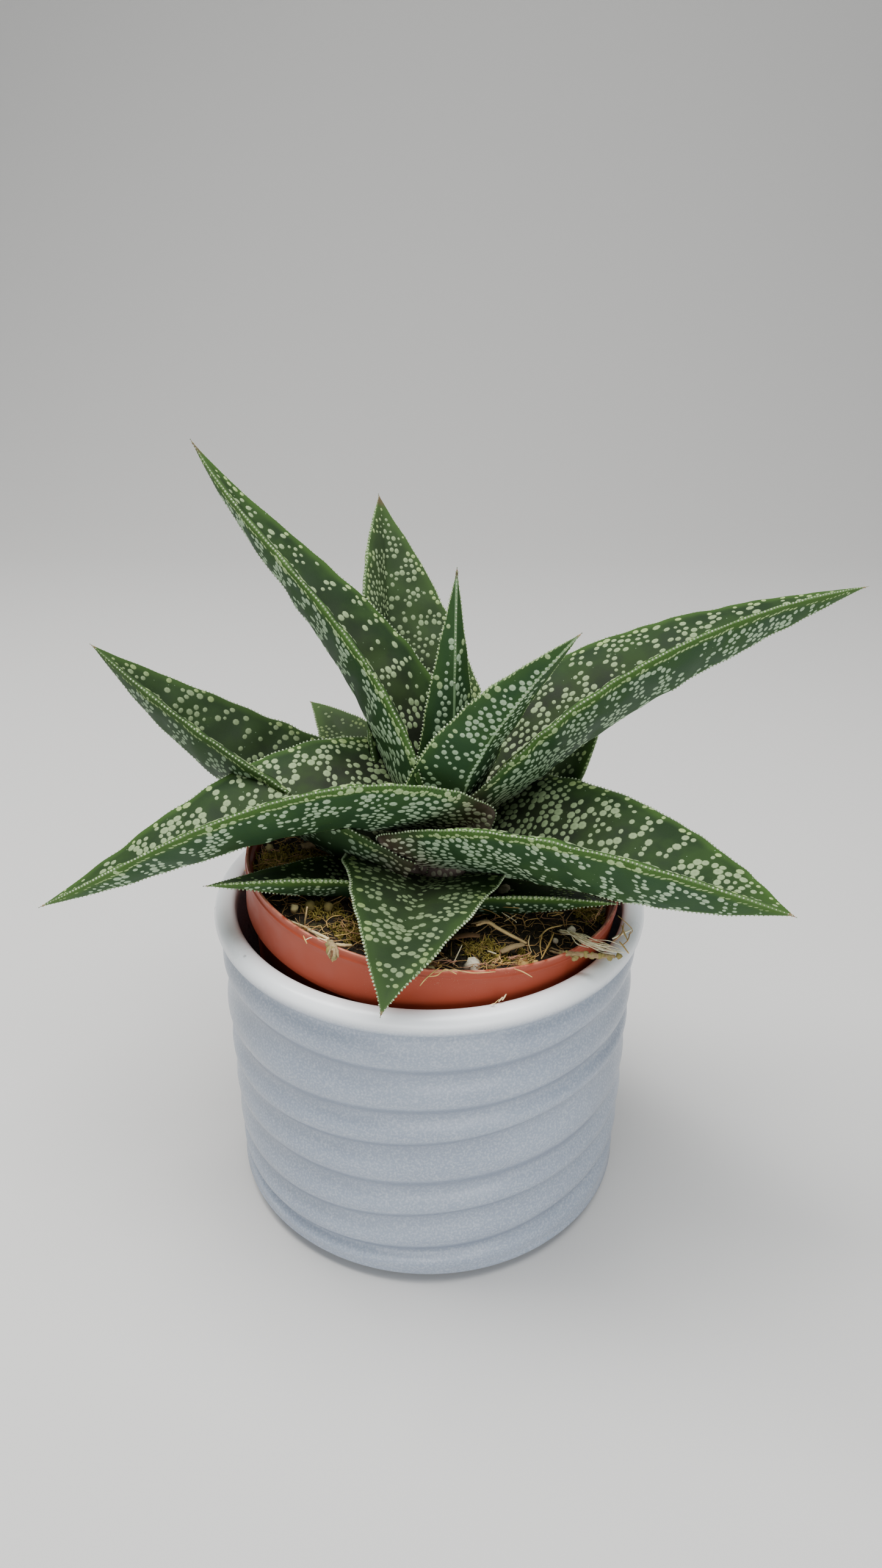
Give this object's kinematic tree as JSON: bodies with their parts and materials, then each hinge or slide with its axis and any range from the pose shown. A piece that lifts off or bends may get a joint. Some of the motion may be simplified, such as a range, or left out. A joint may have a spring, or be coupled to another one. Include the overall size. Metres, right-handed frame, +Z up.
{
  "type": "potted gasteraloe",
  "caption": "Potted gasteraloe: a rosette of thick, toothed, pale-spotted green leaves in a terracotta-coloured nursery pot that leans inside a rippled, pale blue-grey glazed pot.",
  "frame": {"origin": "centre of the glazed pot's foot, at table level", "axes": "+Z up along the glazed pot's axis, -Y towards the side that the picture is taken from, +X to its right"},
  "size_m": [0.2596, 0.161, 0.2472],
  "materials": {
    "glaze": "satin",
    "plastic": "satin",
    "peat": "matte",
    "stem": "matte",
    "leaf": "satin"
  },
  "bodies": {
    "root": {"outer_pot": "glaze", "inner_pot": "plastic", "soil": "peat", "stem": "stem", "leaf_bud": "leaf", "leaf_centre_upright": "leaf", "leaf_centre_right": "leaf", "leaf_upper_left": "leaf", "leaf_long_right": "leaf", "leaf_back": "leaf", "leaf_low_left": "leaf", "leaf_low_right": "leaf", "leaf_back_right": "leaf", "leaf_left": "leaf", "leaf_back_left": "leaf", "leaf_front": "leaf", "leaf_small_left": "leaf", "leaf_small_right": "leaf"}
  },
  "joints": []
}
